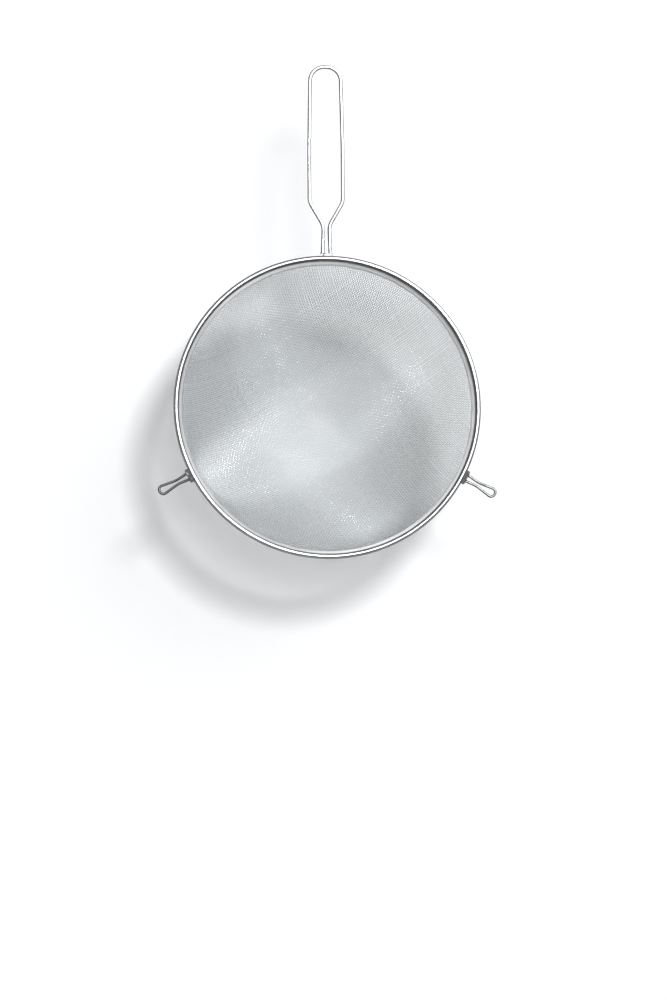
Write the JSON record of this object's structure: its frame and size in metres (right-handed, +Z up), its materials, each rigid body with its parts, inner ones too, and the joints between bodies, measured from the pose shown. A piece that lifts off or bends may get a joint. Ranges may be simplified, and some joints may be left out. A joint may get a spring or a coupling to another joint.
{
  "type": "bowl sieve",
  "caption": "Wide sieve with a deep round bowl of woven steel mesh in a folded round rim, a bent-wire loop handle and two wire rest loops.",
  "frame": {"origin": "middle of the mouth, in the plane of the top of the rim", "axes": "+Z up out of the mouth along the axis of the bowl, +Y along the handle towards its far end, +X to the right when looking into the mouth with the handle up"},
  "size_m": [0.2855, 0.4264, 0.1058],
  "materials": {
    "rim_strip": "polished",
    "core_wire": "matte",
    "mesh_wire": "satin",
    "bent_wire": "polished",
    "saddle_steel": "satin"
  },
  "bodies": {
    "root": {"rim_band": "rim_strip", "rim_core_wire": "core_wire", "mesh_warp_odd": "mesh_wire", "mesh_warp_even": "mesh_wire", "mesh_weft_odd": "mesh_wire", "mesh_weft_even": "mesh_wire", "handle_loop": "bent_wire", "handle_saddle": "saddle_steel", "left_rest_loop": "bent_wire", "left_rest_saddle": "saddle_steel", "right_rest_loop": "bent_wire", "right_rest_saddle": "saddle_steel"}
  },
  "joints": []
}
